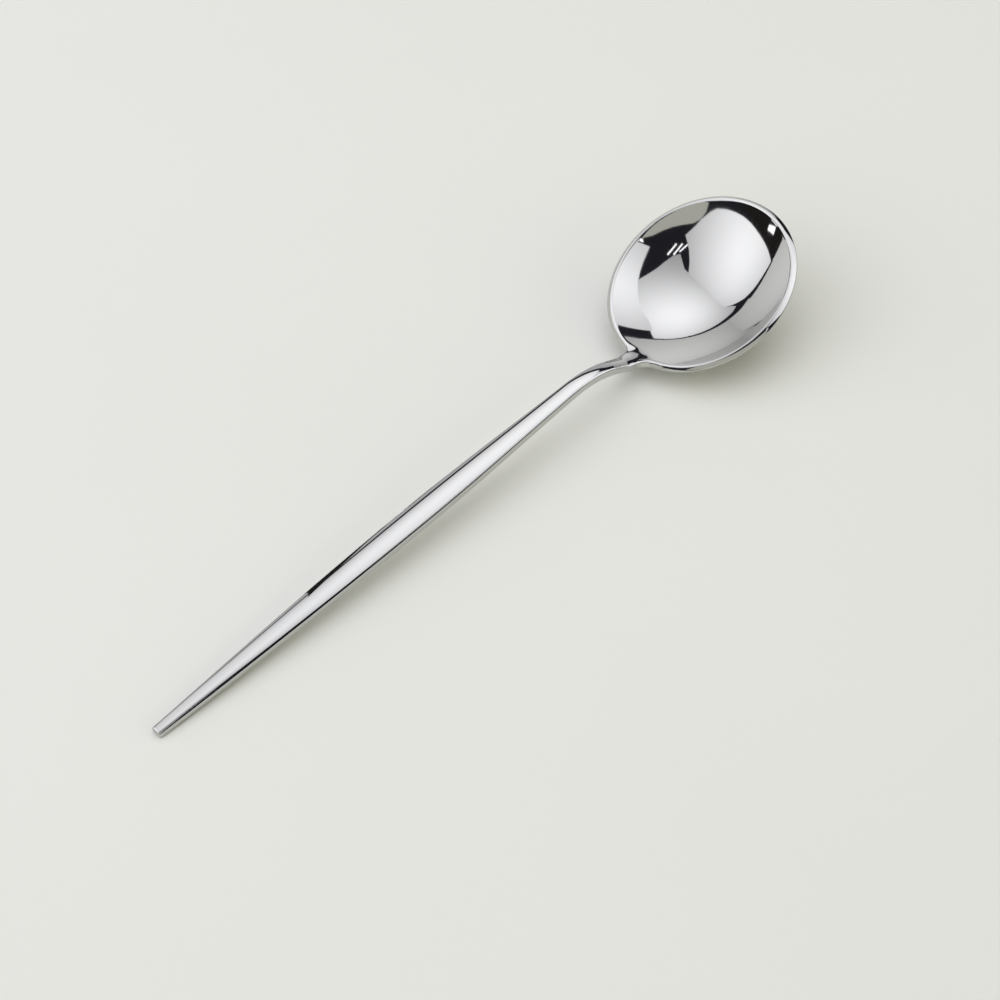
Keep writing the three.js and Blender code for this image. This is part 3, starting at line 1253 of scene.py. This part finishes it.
    def add_stage(self, bm: BMesh, name: str, finish: Material) -> Object:
        """Adds a mesh that isn't part of the object.

        Args:
            bm: the mesh, in metres.
            name: the object's name.
            finish: its material.

        Returns:
            The object.
        """
        made = to_object(bm, name, finish)
        return made

    def set_floor(self) -> None:
        """Lays the floor and puts a low round wall behind it."""
        finish = PaleFloor().make()
        floor = bmesh.new()
        bmesh.ops.create_circle(floor, cap_ends=True, segments=self.round_steps, radius=self.floor_radius)
        bmesh.ops.translate(floor, verts=floor.verts[:], vec=(0, 0, -self.floor_drop))
        self.add_stage(floor, "floor", finish)
        self.add_round(self.wall_radius, self.wall_height, "wall", finish)

    def add_round(self, radius: float, height: float, name: str, finish: Material) -> Object:
        """Adds an upright band round the spoon.

        Args:
            radius: the band's radius.
            height: the band's height over the floor.
            name: the object's name.
            finish: its material.

        Returns:
            The object.
        """
        band = bmesh.new()
        bmesh.ops.create_circle(band, segments=self.round_steps, radius=radius)
        bmesh.ops.translate(band, verts=extruded(band, band.edges[:]), vec=(0, 0, height))
        return self.add_stage(band, name, finish)

    def place_of(self, panel: Panel, spot: Spot) -> Vector:
        """Where a direction meets a panel's distance.

        Args:
            panel: the panel.
            spot: the direction.

        Returns:
            The place, in metres.
        """
        off = math.radians(math.hypot(*spot))
        flat = Vector((*spot, 0)).normalized() * math.sin(off)
        way = self.to_spoon(flat + Vector((0, 0, math.cos(off))))
        return Vector(panel.seen_from) + way * panel.distance

    def set_panels(self) -> None:
        """Hangs the panels round the spoon."""
        for panel in self.panels:
            bm = bmesh.new()
            bm.faces.new([bm.verts.new(self.place_of(panel, spot)) for spot in panel.corners])
            bmesh.ops.triangulate(bm, faces=bm.faces[:])
            glow = Glow(
                name=panel.name,
                colour=panel.colour,
                strength=panel.strength,
                brightest=self.place_of(panel, panel.brightest),
                reach=2 * panel.distance * math.sin(math.radians(panel.reach / 2)),
                fall=panel.fall,
            )
            made = self.add_stage(bm, panel.name, glow.make())
            made.visible_camera = False
            made.visible_glossy = panel.cast is not Cast.FILL
            made.visible_diffuse = panel.cast is not Cast.MIRRORED
            made.visible_shadow = panel.cast is Cast.LIGHT

    def set_gaps(self) -> None:
        """Makes the gaps between the panels dark, down to the floor."""
        world = bpy.data.worlds.new("gaps")
        world.use_nodes = True
        world.node_tree.nodes["Background"].inputs["Color"].default_value = (*self.gap_colour, 1)
        bpy.context.scene.world = world
        dark = Glow("flag", self.gap_colour, strength=1.0, brightest=Vector(), reach=1.0, fall=0.0)
        flag = self.add_round(self.flag_radius, self.flag_height, "flag", dark.make())
        flag.visible_camera = False
        flag.visible_diffuse = False
        flag.visible_shadow = False

    def build(self) -> None:
        """Sets up the whole studio."""
        bpy.context.scene.view_settings.view_transform = "Standard"
        self.set_camera()
        self.set_floor()
        self.set_panels()
        self.set_gaps()
        LOG.info("studio: %d panels", len(self.panels))


def main() -> None:
    """Builds the studio and the spoon's pieces, and notes their size."""
    logging.basicConfig(level=logging.INFO)
    form = SpoonForm()
    Studio(form).build()
    steel = PolishedSteel().make()
    for piece in (PressedBowl(form, steel), GroundWeld(form, steel), ForgedHandle(form, steel)):
        piece.build()


if __name__ == "__main__":
    main()
